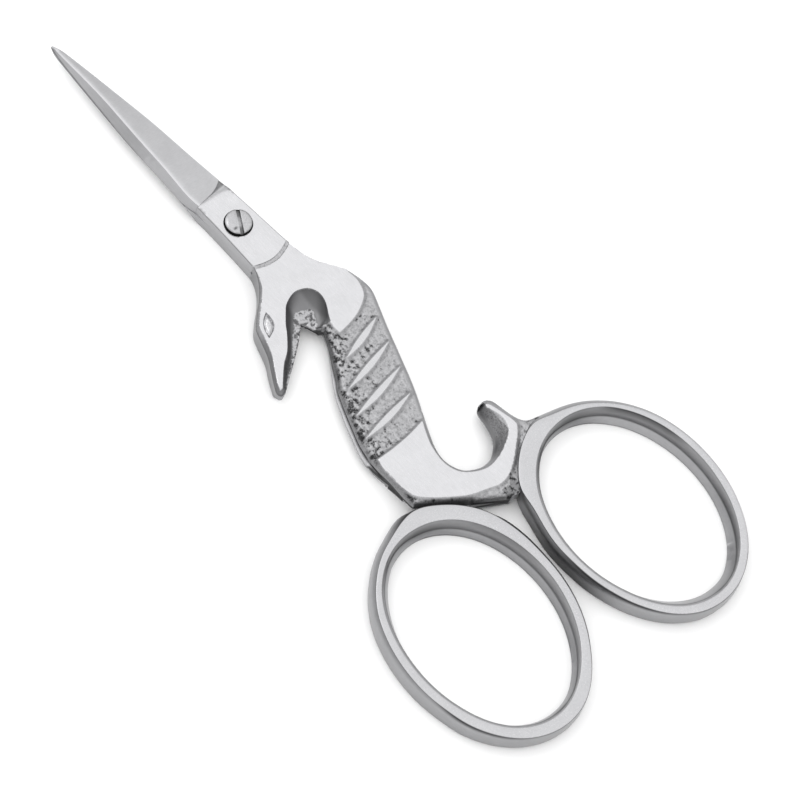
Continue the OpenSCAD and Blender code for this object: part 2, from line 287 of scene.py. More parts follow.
def grain(p, scale, offset=0.0, octaves=3):
    """Fractal noise of a size of scale mm, about -1 to 1, at each point"""
    return np.array([noise.fractal((x / scale, y / scale, offset), 0.8, 2.1, octaves) for x, y in p])


def grid(outline, spacing, keep_off, gap=0.6):
    """Points of a triangular grid inside an outline, clear of the given lines"""
    low, high = outline.min(0), outline.max(0)
    rows = []
    for j, y in enumerate(np.arange(low[1], high[1], spacing * 0.866)):
        x = np.arange(low[0] + spacing * (j % 2) / 2, high[0], spacing)
        rows.append(np.stack([x, np.full(len(x), y)], 1))
    p = np.vstack(rows)
    p = p[inside(p, outline)]
    near = np.full(len(p), np.inf)
    for line, closed in keep_off:
        near = np.minimum(near, distance(p, line, closed))
    return p[near > spacing * gap]


# ---- solids
def triangulate(rings, creases, points):
    """Triangles that fill the first ring less the others, with every crease as an edge"""
    verts, edges = [], []
    for line, closed in [(r, True) for r in rings] + creases:
        first, n = len(verts), len(line)
        verts += [Vector(v) for v in line]
        edges += [(first + i, first + (i + 1) % n) for i in range(n if closed else n - 1)]
    verts += [Vector(v) for v in points]
    out = delaunay_2d_cdt(verts, edges, [], 0, 1e-6)
    p = np.array([v[:] for v in out[0]])
    tris = np.array([list(f) for f in out[2]])
    middle = p[tris].mean(1)
    keep = inside(middle, rings[0])
    for hole in rings[1:]:
        keep &= ~inside(middle, hole)
    tris = tris[keep]
    a, b, c = p[tris[:, 0]], p[tris[:, 1]], p[tris[:, 2]]
    turned = np.cross(b - a, c - a) < 0
    tris[turned] = tris[turned][:, ::-1]
    used, flat = np.unique(tris, return_inverse=True)
    return p[used], flat.reshape(tris.shape)


class Shape:
    """A closed mesh in the making: points, faces, a material name for each face, grime and painted shade for
    each point
    """

    def __init__(self):
        self.verts, self.faces, self.looks, self.grime = [], [], [], []

    def add(self, points, grime=0.0):
        first = len(self.verts)
        self.verts += [tuple(q) for q in points]
        self.grime += list(np.broadcast_to(grime, len(points)))
        return first

    def face(self, corners, look):
        self.faces.append([int(c) for c in corners])
        self.looks.append(look)


def plate(rings, creases, points, top, wall, looks):
    """Solid between its mating face at z = 0 and the surface top(points), which gives heights and grime with
    painted shade.
    wall lists (share of the height, offset outwards, grime with painted shade or its function) from the
    upper edge down;
    looks names the materials: of the top and the wall by the middle of a face, and of the mating face."""
    shape = Shape()
    p, tris = triangulate(rings, creases, points)
    z, dirt = top(p)
    shape.add(np.column_stack([p, z]), dirt)
    for tri, look in zip(tris, looks["top"](p[tris].mean(1))):
        shape.face(tri, look)
    # directed boundary edges, with the solid on their left
    pairs = {(int(a), int(b)) for t in tris for a, b in zip(t, np.roll(t, -1))}
    border = [(a, b) for a, b in pairs if (b, a) not in pairs]
    border.sort()
    # outward directions along the rim
    out = np.zeros_like(p)
    for a, b in border:
        d = p[b] - p[a]
        n = np.array([d[1], -d[0]]) / max(np.linalg.norm(d), 1e-9)
        out[a] += n
        out[b] += n
    rim = sorted({a for a, _ in border})
    spot = {v: i for i, v in enumerate(rim)}
    normal = out[rim] / np.maximum(np.linalg.norm(out[rim], axis=1), 1e-9)[:, None]
    upper = {v: v for v in rim}
    middle = np.array([(p[a] + p[b]) / 2 for a, b in border])
    for share, offset, dirt in wall:
        xy = p[rim] + normal * offset
        first = shape.add(np.column_stack([xy, z[rim] * share]), dirt(p[rim]) if callable(dirt) else dirt)
        lower = {v: first + spot[v] for v in rim}
        for (a, b), look in zip(border, looks["wall"](middle)):
            shape.face([upper[a], lower[a], lower[b], upper[b]], look)
        upper = lower
    # the mating face, with points inside it so that the grime and painted shade of its rim don't spread over
    # it
    base = np.array([shape.verts[upper[v]][:2] for v in rim])
    edges = [(spot[a], spot[b]) for a, b in border]
    inner = grid(rings[0], 0.5, [(r, True) for r in rings], 0.35)
    for hole in rings[1:]:
        inner = inner[~inside(inner, hole)]
    cdt = delaunay_2d_cdt([Vector(v) for v in np.vstack([base, inner])], edges, [], 0, 1e-7)
    q = np.array([v[:] for v in cdt[0]])
    tris = np.array([list(f) for f in cdt[2]])
    keep = enclosed(q[tris].mean(1), [(base[a], base[b]) for a, b in edges])
    ids = []
    for source, xy in zip(cdt[3], q):
        on_rim = source and min(source) < len(rim)
        ids.append(upper[rim[min(source)]] if on_rim else shape.add([(*xy, 0.0)]))
    for tri in tris[keep]:
        a, b, c = q[tri]
        order = tri if np.cross(b - a, c - a) < 0 else tri[::-1]
        shape.face([ids[i] for i in order], looks["mate"])
    return shape


def in_scene(name, data):
    """New object, linked to the scene"""
    thing = bpy.data.objects.new(name, data)
    bpy.context.scene.collection.objects.link(thing)
    return thing


def build(name, shape, body, nodes, place=lambda v: v, flipped=False, sharp=32):
    """Makes the Blender object of a shape, placed in the row frame"""
    v = place(np.array(shape.verts, float))
    faces = [f[::-1] for f in shape.faces] if flipped else shape.faces
    mesh = bpy.data.meshes.new(name)
    mesh.from_pydata([tuple(q) for q in v * MM], [], faces)
    names = sorted(set(shape.looks))
    for look in names:
        mesh.materials.append(MATERIALS[look])
    mesh.polygons.foreach_set("material_index", [names.index(x) for x in shape.looks])
    layer = mesh.attributes.new("grime", "FLOAT", "POINT")
    layer.data.foreach_set("value", np.array(shape.grime, np.float32))
    mesh.update()
    mesh.shade_smooth()
    mesh.set_sharp_from_angle(angle=math.radians(sharp))
    piece = in_scene(name, mesh)
    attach(piece, body)
    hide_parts(*nodes)


# ---- materials
# steel's slight blue, tone and added roughness of grime and painted shade, depth of the fine relief in
# metres
BLUE_CAST = 1.025
GRIME_TONE = 0.035
GRIME_ROUGHNESS = 0.2
RELIEF_M = 0.00005


def metal(name, tone, rough, speck=0.0, streak=(3000, 3000, 3000), uneven=0.04, bump=0.05):
    """Steel: its tone varies with streaks, specks and the grime and painted shade of the mesh, and so does
    its roughness
    """
    mat = bpy.data.materials.new(name)
    mat.use_nodes = True
    nodes, links = mat.node_tree.nodes, mat.node_tree.links
    nodes.clear()
    out = nodes.new("ShaderNodeOutputMaterial")
    skin = nodes.new("ShaderNodeBsdfPrincipled")
    links.new(skin.outputs["BSDF"], out.inputs["Surface"])
    skin.inputs["Metallic"].default_value = 1.0
    place = nodes.new("ShaderNodeTexCoord")

    def noise_at(scales, detail):
        """Noise with a number of cells to the metre along each axis, about 0.3 to 0.7 nearly everywhere"""
        tex = nodes.new("ShaderNodeTexNoise")
        tex.inputs["Scale"].default_value = 1.0
        tex.inputs["Detail"].default_value = detail
        tex.inputs["Roughness"].default_value = 0.6
        mapping = nodes.new("ShaderNodeMapping")
        mapping.inputs["Scale"].default_value = scales
        links.new(place.outputs["Object"], mapping.inputs["Vector"])
        links.new(mapping.outputs["Vector"], tex.inputs["Vector"])
        return tex.outputs["Fac"]

    def remap(value, low, high, to_low, to_high):
        node = nodes.new("ShaderNodeMapRange")
        for key, number in zip(("From Min", "From Max", "To Min", "To Max"), (low, high, to_low, to_high)):
            node.inputs[key].default_value = number
        links.new(value, node.inputs["Value"])
        return node.outputs["Result"]

    def maths(kind, a, b):
        node = nodes.new("ShaderNodeMath")
        node.operation = kind
        for socket, value in zip(node.inputs, (a, b)):
            if isinstance(value, float):
                socket.default_value = value
            else:
                links.new(value, socket)
        return node.outputs["Value"]

    lines = noise_at(streak, 3.0)
    cloud = noise_at((450, 450, 450), 4.0)
    fine = noise_at((6000, 6000, 6000), 6.0)
    # the mesh's grime attribute holds real grime and painted shade, and both darken the steel towards the
    # darkest tone
    dirt = nodes.new("ShaderNodeAttribute")
    dirt.attribute_name = "grime"
    light = maths("MULTIPLY", remap(lines, 0.3, 0.7, 1 - uneven, 1 + uneven),
                  remap(cloud, 0.3, 0.7, 0.97, 1.03))
    specks = maths("MULTIPLY", remap(fine, 0.45, 0.7, 0.0, 1.0), float(speck))
    dirty = maths("MINIMUM", maths("ADD", dirt.outputs["Fac"], specks), 1.0)
    shade = maths("MULTIPLY", light, remap(dirty, 0.0, 1.0, tone, GRIME_TONE))
    colour = nodes.new("ShaderNodeCombineColor")
    links.new(shade, colour.inputs[0])
    links.new(shade, colour.inputs[1])
    links.new(maths("MULTIPLY", shade, BLUE_CAST), colour.inputs[2])
    links.new(colour.outputs["Color"], skin.inputs["Base Color"])
    dull = remap(lines, 0.3, 0.7, rough - 0.04, rough + 0.04)
    links.new(maths("ADD", dull, maths("MULTIPLY", dirty, GRIME_ROUGHNESS)), skin.inputs["Roughness"])
    relief = nodes.new("ShaderNodeBump")
    relief.inputs["Strength"].default_value = bump
    relief.inputs["Distance"].default_value = RELIEF_M
    links.new(maths("ADD", lines, maths("MULTIPLY", fine, 0.5)), relief.inputs["Height"])
    links.new(relief.outputs["Normal"], skin.inputs["Normal"])
    return mat


MATERIALS = {
    "polished": metal("polished_steel", 0.485, 0.24, streak=(9000, 1200, 3000), bump=0.03),
    "satin": metal("satin_ground_steel", 0.475, 0.36, streak=(1500, 11000, 3000), uneven=0.06, bump=0.06),
    # the side, wall and bow_side tones are lower than the faces' partly for their rougher finish and partly
    # as painted shade from the shadowed floor these walls face
    "side": metal("side_ground_steel_painted_shade", 0.37, 0.36, streak=(5000, 1200, 9000), uneven=0.05, bump=0.05),
    "wall": metal("milled_wall_steel_painted_shade", 0.385, 0.36, streak=(5000, 1200, 9000), uneven=0.05, bump=0.05),
    "cast": metal("pickled_cast_steel", 0.385, 0.42, speck=0.3, streak=(2500, 2500, 2500), uneven=0.08,
                  bump=0.25),
    # near-black steel for the screw's pocket, the bore and the undercut under the head: painted shadow
    "gap": metal("gap_steel_painted_shadow", 0.05, 0.5, bump=0.1),
    "bow": metal("polished_bow_steel", 0.41, 0.24, streak=(4000, 4000, 1200), bump=0.03),
    "bow_side": metal("brushed_bow_steel_painted_shade", 0.325, 0.34, streak=(1500, 1500, 9000), uneven=0.06, bump=0.05),
    "screw": metal("turned_screw_steel", 0.38, 0.24, streak=(6000, 6000, 2000), uneven=0.08, bump=0.06),
}


# ---- blade and joint
def across(line, y):
    """x of a line that climbs in y"""
    line = np.asarray(line, float)
    return np.interp(y, line[:, 1], line[:, 0])


def along(line, x):
    """y of a line that climbs in x"""
    line = np.asarray(line, float)
    return np.interp(x, line[:, 0], line[:, 1])


FOOT_CURVE, LAND_CURVE, CUT_CURVE = smooth(SPINE_FOOT, 0.4), smooth(LAND_EDGE, 0.4), smooth(CUT_EDGE, 0.4)
PLUNGE_CURVE = smooth(PLUNGE, 0.15)
CREASE_CURVE = smooth(PLUNGE_CREASE, 0.15)
FACE_CURVE = smooth(PLUNGE_FACE, 0.15)


def land_end(land, cut):
    """x where the polished land ends and the ground facet begins"""
    return np.minimum(land + LAND_W, (land + cut) / 2)


def blade_height(p):
    """Spine facet up to the land, the land, and the ground facet down to the cutting edge"""
    x, y = p[:, 0], p[:, 1]
    t = np.array(THICKNESS)
    full = np.interp(y, t[:, 0], t[:, 1]) * LEAF / t[0, 1]
    foot, land, cut = across(FOOT_CURVE, y), across(LAND_CURVE, y), across(CUT_CURVE, y)
    inner = land_end(land, cut)
    rise = np.clip((x - foot) / np.maximum(land - foot, 1e-3), 0, 1)
    fall = np.clip((x - inner) / np.maximum(cut - inner, 1e-3), 0, 1)
    z = FOOT_H + (full - FOOT_H) * rise
    return np.where(x < land, np.maximum(z, EDGE_H), full + (EDGE_H - full) * fall)


def joint_depth(p):
    """How far the end of the joint falls into the plunge of the grind"""
    x, y = p[:, 0], p[:, 1]
    face, crease, end = along(FACE_CURVE, x), along(CREASE_CURVE, x), along(PLUNGE_CURVE, x)
    bottom = LEAF - blade_height(np.stack([x, end], 1))
    bottom = np.where(x < -1.9, bottom * ease((x + 2.3) / 0.4), bottom)
    middle = CREASE_DEPTH * np.clip((x + 2.1) / 4.6, 0, 1)
    middle = np.minimum(middle, bottom)
    first = np.clip((y - face) / np.maximum(crease - face, 1e-3), 0, 1)
    second = np.clip((y - crease) / np.maximum(end - crease, 1e-3), 0, 1)
    return middle * first**1.6 + (bottom - middle) * second


def blade_shape():
    outline = ring(PLUNGE_CURVE, CUT_CURVE[1:], FOOT_CURVE[::-1])
    land_x, land_y = LAND_CURVE.T
    inner = np.stack([land_end(land_x, across(CUT_CURVE, land_y)), land_y], 1)
    creases = [(LAND_CURVE[:-2], False), (inner[:-2], False)]
    points = grid(outline, 0.45, [(outline, True)] + creases)

    def top(p):
        x, y = p[:, 0], p[:, 1]
        # a faint painted dark line beside the land, on the spine's side: the dark reflection of the rounded
        # edge
        beside = across(LAND_CURVE, y) - x
        return blade_height(p), 0.3 * ease(1 - np.abs(beside - 0.12) / 0.1) * (beside > 0.02)

    def name_top(m):
        land, cut = across(LAND_CURVE, m[:, 1]), across(CUT_CURVE, m[:, 1])
        return np.where(m[:, 0] < land, "side", np.where(m[:, 0] < land_end(land, cut), "polished", "satin"))

    # the blade's wall is painted darker towards its foot: painted shade where the two blades meet
    return plate([outline], creases, points, top, [(0.3, 0, 0.0), (0.0, -0.02, 0.5)],
                 dict(top=name_top, wall=lambda m: ["side"] * len(m), mate="satin"))


def joint_shape(bore, front):
    """The flat joint; on the back lever the edge and the spine change sides"""
    way = np.array([1 if front else -1, 1])
    seam = sagging(SEAM_LEFT, SEAM_RIGHT, SEAM_SAG, 0.15)
    plunge, crease, face = PLUNGE_CURVE * way, CREASE_CURVE * way, FACE_CURVE * way
    if front:
        left, right = [(-2.3, 2), plunge[0]], [plunge[-1], (2.52, 5.3), (2.39, 4.6), (2.34, 3.4)]
    else:
        left, right = [(-2.3, 2), (-2.36, 3.8), plunge[-1]], [plunge[0], (2.3, 3.4)]
    left = smooth([SEAM_LEFT, (-2.42, -3.5), (-2.35, -1)] + left)
    right = smooth(right + [(2.44, 1.8), (2.55, 0.2), (2.7, -2.5), SEAM_RIGHT])
    outline = ring(left, plunge if front else plunge[::-1], right, seam[::-1] + (0, GROOVE_W))
    hole = circle(bore)
    pocket, pocket_floor = circle(POCKET_R), circle(POCKET_R - 0.05)
    creases = [(crease[2:-1], False), (face[2:-1], False), (pocket, True), (pocket_floor, True)]
    # lines along the rounded rims, which end short of the plunge
    rims_end = 3.2 if front else 2.4
    for line in (left[1:-1] + (0.12, 0), right[1:-1] - (0.12, 0)):
        creases.append((line[line[:, 1] < rims_end], False))
    points = grid(outline, 0.3, [(outline, True), (hole, True)] + creases)

    def top(p):
        r = np.hypot(p[:, 0], p[:, 1])
        side = np.minimum(distance(p, left), distance(p, right))
        z = LEAF - joint_depth(p * way) - 0.08 * ease(1 - side / 0.1)
        in_pocket = r < POCKET_R - 0.02
        slope = p[:, 1] - along(CREASE_CURVE, p[:, 0] * way[0])
        # painted shade: the pocket round the screw is near black, the rims get a painted dark reflection,
        # and the steep facet of the plunge is darker
        dirt = np.max([0.85 * in_pocket, EDGE_DIRT * ease(1 - side / 0.08), 0.42 * ease(slope / 0.12)], 0)
        return z - POCKET_DEPTH * in_pocket, dirt

    def name_top(m):
        r = np.hypot(m[:, 0], m[:, 1])
        slope = m[:, 1] > along(CREASE_CURVE, m[:, 0] * way[0])
        easy = (m[:, 1] > along(FACE_CURVE, m[:, 0] * way[0])) & ~slope
        names = np.where(slope, "side", np.where(easy, "satin", "polished"))
        return np.where(r < POCKET_R, "gap", names)

    def name_wall(m):
        return np.where(np.hypot(m[:, 0], m[:, 1]) < HEAD_R, "gap", "wall")

    # the walls are painted a little darker just under their upper edge: the dark reflection of the rounded
    # rim
    return plate([outline, hole], creases, points, top,
                 [(0.985, 0.0, 0.3), (0.93, 0.0, 0.25), (0.9, 0.0, 0.0), (0.0, 0.0, 0.0)],
                 dict(top=name_top, wall=name_wall, mate="satin"))


# ---- the figure
def rib_outline(rib):
    """Ground crest of a rib: a curved sliver, pointed at both ends"""
    right, left = rib
    upper, lower = 0.5 * RIB_W - 0.25 * RIB_SAG, 0.5 * RIB_W + 0.25 * RIB_SAG
    return ring(sagging(right, left, upper), sagging(left, right, lower))


def round_over(near, width, drop):
    """Fall of a rounded edge: none at its width from the outline, all of it at the outline"""
    t = np.clip(near / width, 0, 1)
    return drop * (1 - np.sqrt(np.clip(1 - (1 - t) ** 2, 0, 1)))


def figure_edges(front):
    """Edges of the head, trunk and haunch by name, clockwise from the seam"""
    if front:
        hook, tail, web, under = HOOK, TAIL, FRONT_WEB, [UNDER_RIGHT, UNDER_LEFT]
        rump, belly = [UNDER_LEFT] + RUMP, BELLY
        throat, face_left = THROAT, FACE_LEFT
    else:
        dx, dy = WEB_SHIFT_BACK
        web = [(x + dx, y + dy) for x, y in FRONT_WEB[1:-1]] + FRONT_WEB[-1:]
        tail = [TAIL_START_BACK] + TAIL[1:-2] + [TAIL_END_BACK, web[0]]
        hook, under = HOOK_BACK, UNDER_BACK
        rump, belly = under[-1:] + RUMP_BACK, BELLY_BACK
        throat, face_left = THROAT[:-2] + SNOUT_BACK[:2], SNOUT_BACK[1:] + FACE_LEFT[4:]
    lines = dict(crown=CROWN, back=BACK, hook=hook, tail=tail, web=web, gap=[web[-1], under[0]], under=under,
                 rump=rump, belly=belly, notch=NOTCH, throat=throat, left=face_left)
    return {name: (straight if name in ("gap", "under") else smooth)(p) for name, p in lines.items()}


def nearest(distances, names):
    """Distance of each point from the nearest of the named edges"""
    return np.min([distances[name] for name in names], 0)


class Figure:
    """Head, trunk and haunch of one lever: outline, faces, and height and grime at any point"""

    def __init__(self, front):
        self.front = front
        self.seam = sagging(SEAM_LEFT, SEAM_RIGHT, SEAM_SAG, 0.15)
        self.edges = figure_edges(front)
        self.outline = ring(self.seam + (0, GROOVE_W), *self.edges.values())
        self.ledge_line = smooth(LEDGE, 0.12)
        self.ledge = ring(self.ledge_line, self.edges["notch"], self.edges["throat"])
        self.throat_edge = smooth(SHOULDER_INNER[1:] + ARCH[1:], 0.12)
        self.eye = ring(sagging(EYE_TOP, EYE_BOTTOM, EYE_BULGE[0]),
                        sagging(EYE_BOTTOM, EYE_TOP, EYE_BULGE[1]))
        head = ring(self.seam - (0, GROOVE_W), smooth(CROWN_FACE), smooth(SHOULDER), smooth(SHOULDER_INNER),
                    smooth(ARCH, 0.12), smooth(SNOUT_LEFT))
        haunch = ring(smooth(HAUNCH_TOP), smooth(HAUNCH_RIM), smooth(TAIL_FACE), smooth(TAIL_INNER))
        self.faces = [head, haunch] + [rib_outline(r) for r in RIBS]

    def creases(self):
        """Lines where the relief bends sharply, each with whether it is closed"""
        lines = [smooth(line, 0.12) for line in (SHOULDER, SHOULDER_INNER, ARCH)]
        lines += [smooth(SNOUT_LEFT, 0.12)[:-6], smooth(CROWN_FACE, 0.12)[9:], self.ledge_line]
        lines += [self.seam[1:-1] - (0, GROOVE_W), self.seam[1:-1] - (0, GROOVE_W - GROOVE_FLANK)]
        return [(line, False) for line in lines] + [(line, True) for line in [self.eye] + self.faces[1:]]

    def grid_points(self, creases):
        """Fine points on the relief and around the eye, coarse ones on the flat faces"""
        lines = [(self.outline, True)] + creases
        fine, coarse = grid(self.outline, FINE_STEP, lines), grid(self.outline, COARSE_STEP, lines)
        flat, calm = np.zeros(len(fine), bool), np.zeros(len(coarse), bool)
        for f in self.faces:
            flat |= inside(fine, f) & (distance(fine, f, True) > 0.2)
            calm |= inside(coarse, f) & (distance(coarse, f, True) > 0.45)
        flat &= distance(fine, self.eye, True) > 0.8
        calm &= distance(coarse, self.eye, True) > 0.9
        return np.vstack([fine[~flat], coarse[calm]])

    def off_faces(self, p):
        """Whether a point is on a polished face, and its distance from the nearest one"""
        on_face = np.zeros(len(p), bool)
        off = np.full(len(p), np.inf)
        for f in self.faces:
            on_face |= inside(p, f)
            off = np.minimum(off, distance(p, f, True))
        return on_face, np.where(on_face, 0, off)

    def measure(self, p):
        """Each point's part of the relief, its distances, and the noises that roughen it"""
        at = SimpleNamespace(x=p[:, 0], y=p[:, 1])
        at.on_face, at.off = self.off_faces(p)
        at.edge = {name: distance(p, line) for name, line in self.edges.items()}
        at.head_rim = nearest(at.edge, ("crown", "left"))
        at.smooth_rim = nearest(at.edge, SMOOTH_EDGES)
        at.rough_rim = nearest(at.edge, ROUGH_EDGES)
        # the throat is the ledge and the wall up to the arch; join is where it runs out in the trunk
        at.from_arch, at.to_ledge = distance(p, self.throat_edge), distance(p, self.ledge_line)
        at.on_ledge = inside(p, self.ledge)
        by_snout = (at.x < -3) & (at.edge["throat"] < at.edge["left"])
        under_arch = (at.x < ARCH_END[0]) & (at.y > ARCH_END[1]) & (at.from_arch < at.off + 0.02)
        at.throat = ~at.on_face & (at.on_ledge | (at.to_ledge < THROAT_REACH) & (by_snout | under_arch))
        at.join = ease((-15.2 - at.y) / 1.2) * (at.x > -2)
        # the hollow inside the hook
        hook_side = (at.y < -35) & (at.edge["hook"] < at.edge["tail"])
        at.hollow = ~at.on_face * ease((at.x - 1.5) / 2.5) * hook_side
        # the groove of the seam
        up = at.y - along(self.seam, at.x)
        at.taper = ease((at.x - SEAM_LEFT[0]) / 0.9) * ease((SEAM_RIGHT[0] - at.x) / 0.15)
        at.in_groove = (up > -GROOVE_W - 0.001) & (up < GROOVE_W + 0.001)
        at.flank = ease((up + GROOVE_W) / GROOVE_FLANK)
        at.in_eye, at.lid = inside(p, self.eye), distance(p, self.eye, True)
        # how rough the valleys are; patches of pits lie mostly towards the belly
        rough = ease((at.off - 0.08) / 0.3) * ease((at.smooth_rim - 0.4) / 0.5) * ease(at.rough_rim / 0.3)
        at.rough = np.where(at.throat & ~at.on_ledge, rough * at.join, rough)
        low, at.mid, high = grain(p, 1.3, 2.0, 2), grain(p, 0.45, 1.0, 4), grain(p, 0.16, 7.0, 3)
        left_share = np.clip((at.x - across(self.edges["belly"], at.y)) / 7.0, 0, 1)
        at.patch = ease((0.8 * low + 0.7 * at.mid + 0.75 * (0.38 - left_share)) / 0.55)
        at.pits = ease((high - 0.3 + 0.5 * at.patch) / 0.35)
        return at

    def height(self, at):
        # the fall beside the faces, and the cove of the throat
        depth = ALONG_DEPTH * (ease(0.15 + at.off / 0.65) - ease(0.15)) * ease(0.2 + at.edge["left"])
        share = np.where(at.on_ledge, 1, at.from_arch / np.maximum(at.from_arch + at.to_ledge, 1e-6))
        cove = THROAT_DEPTH * np.sin(0.5 * math.pi * np.clip(share, 0, 1)) ** 0.8
        depth = np.where(at.throat, cove + (depth - cove) * at.join, depth)
        # rounded edges; the left one fades towards the seam
        left_width, left_drop = LEFT_ROUND_FRONT if self.front else LEFT_ROUND_BACK
        left_drop = 0.06 + left_drop * ease((-5.6 - at.y) / 3.0)
        for names, width, drop in ROUNDED + [(("left",), left_width, left_drop)]:
            if "notch" in names:
                drop = np.where(at.on_ledge, LEDGE_DROP, drop)
            depth += np.where(at.on_face, 0, round_over(nearest(at.edge, names), width, drop))
        # the hook's hollow
        fall = HOOK_DEPTH * ease(0.1 + 0.9 * at.off / (at.off + at.edge["hook"] + 0.01))
        depth += (np.maximum(depth, fall) - depth) * at.hollow
        z = LEAF - np.minimum(depth, LEAF - LEAST_HEIGHT) - at.rough * (0.05 * at.mid + 0.05 * at.pits)
        z = np.where(at.in_groove, LEAF - GROOVE_DEPTH * at.taper * at.flank, z)
        # the eye, engraved around a bulge, and the bevel of the head's rim
        z -= at.in_eye * EYE_DEPTH * (ease(at.lid / 0.12) - ease((at.lid - 0.12) / 0.35))
        return z - at.on_face * BEVEL_DEPTH * ease(1 - at.head_rim / 0.08)

    def grime(self, at, p):
        clear = ~(at.on_face | at.throat)
        in_pits = at.pits * (0.22 + 0.25 * at.patch)
        dirt = at.rough * (0.2 * ease(0.5 + 0.9 * at.mid) + in_pits + 0.45 * at.patch)
        dirt += (0.45 + 0.25 * at.pits * at.rough - dirt) * at.hollow
        # blotches on the ledge, and a painted shadow line where it ends at the notch
        blotches = 0.05 + 0.7 * ease((at.mid - 0.12) / 0.2)
        dirt = np.where(at.on_ledge, np.maximum(blotches, 0.9 * ease(1 - at.edge["notch"] / 0.12)), dirt)
        # the groove beside the bow
        by_bow = ~at.on_face & (at.x > 0.5) & (at.edge["web"] < BOW_GROOVE_W) & (at.hollow < 0.5)
        blotches = 0.1 + 0.5 * ease((at.mid - 0.05) / 0.3) + 0.2 * at.pits + 0.4 * ease((5.2 - at.x) / 1.5)
        dirt = np.where(by_bow, blotches, dirt)
        # the crests of the ribs
        dirt = np.where(at.on_face & (at.y > RIB_BAND[0]) & (at.y < RIB_BAND[1]), 0.08, dirt)
        # painted shade on the throat's wall, darker away from the middle of the arch
        wall = np.where(at.throat & ~at.on_ledge, 1 - at.join, 0)
        dirt += wall * (0.57 * ease(at.from_arch / 0.1) + 0.15 * ease((np.abs(at.x + 1.4) - 0.9) / 0.6))
        # painted shade: a dark line along the faces, a darker bevel of the snout, dark reflections on the
        # smooth rims and shadow by the rough ones
        dirt += clear * 0.1 * ease(at.off / 0.08) * ease(1 - (at.off - 0.12) / 0.25)
        dirt += clear * 0.3 * ease((-12.0 - at.y) / 1.5) * ease(1 - (at.edge["left"] - 0.45) / 0.2)
        dirt += clear * 0.25 * ease(1 - (at.smooth_rim - 0.3) / 0.4)
        dirt += ~(at.on_face | at.on_ledge) * 0.3 * ease(1 - at.rough_rim / 0.8)
        # the seam's groove, a painted dark reflection on the rim of the head, and the eye
        blotches = 0.05 + 0.4 * ease((grain(p, 0.12) - 0.05) / 0.3)
        dirt = np.where(at.in_groove, at.taper * blotches, dirt)
        dirt = np.maximum(dirt, EDGE_DIRT * ease(1 - at.head_rim / 0.13))
        dirt += at.in_eye * (0.5 * ease(1 - np.abs(at.lid - 0.12) / 0.12) + 0.3 * at.pits)
        return np.clip(dirt, 0, 1)

    def top(self, p):
        at = self.measure(p)
        return self.height(at), self.grime(at, p)

    def name_top(self, m):
        on_face, _ = self.off_faces(m)
        rim = self.from_edges(m, SMOOTH_EDGES)
        x, y = m[:, 0], m[:, 1]
        cove = (x < ARCH_END[0]) & (y > ARCH_END[1]) & (distance(m, self.throat_edge) < THROAT_REACH)
        by_bow = (x > 0.5) & (distance(m, self.edges["web"]) < BOW_GROOVE_W)
        bright = (rim < 0.5) | cove | inside(m, self.ledge) | by_bow
        names = np.where(on_face, "polished", np.where(bright, "side", "cast"))
        return np.where(distance(m, self.seam) < GROOVE_W, "side", names)

    def from_edges(self, p, names):
        return np.min([distance(p, self.edges[name]) for name in names], 0)

    def near_edges(self, p, *names):
        """1 on the named edges of the outline, 0 away from them"""
        return ease(1 - self.from_edges(p, names) / 0.3)

    # painted shade on the walls: darker by the notch and the rough edges, and along the left
    def wall_grime(self, p):
        dark = self.near_edges(p, "notch", *ROUGH_EDGES)
        return 0.5 * dark + 0.3 * self.near_edges(p, "left")

    # painted shadow at the foot of the walls, where the two levers meet, strongest by the notch and the
    # rough edges
    def foot_grime(self, p):
        dark = self.near_edges(p, "notch", "rump", "gap", "belly" if self.front else "under")
        side = 0.3 * self.near_edges(p, "left") * (1 - dark)
        return np.maximum(0.95 * dark, 0.6 * self.near_edges(p, "under")) + side


def figure_shape(front):
    """The figure of one lever; the back lever's stands out a little at the left"""
    figure = Figure(front)
    creases = figure.creases()
    wall = [(0.92, 0.02, figure.wall_grime), (0.8, 0.03, figure.foot_grime), (0.06, 0.0, figure.foot_grime),
            (0.0, 0.0, figure.foot_grime)]
    looks = dict(top=figure.name_top, wall=lambda m: ["wall"] * len(m), mate="satin")
    return plate([figure.outline], creases, figure.grid_points(creases), figure.top, wall, looks)


# ---- finger bows
def around(table, degrees):
    """Smooth periodic reading of a table of (angle in degrees, value)"""
    angles, values = np.array(table, float).T
    at = np.interp(degrees, angles, values, period=360)
    near = [np.interp(degrees + d, angles, values, period=360) for d in (-4, -2, 2, 4)]
    return float(at * 2 + sum(near)) / 6


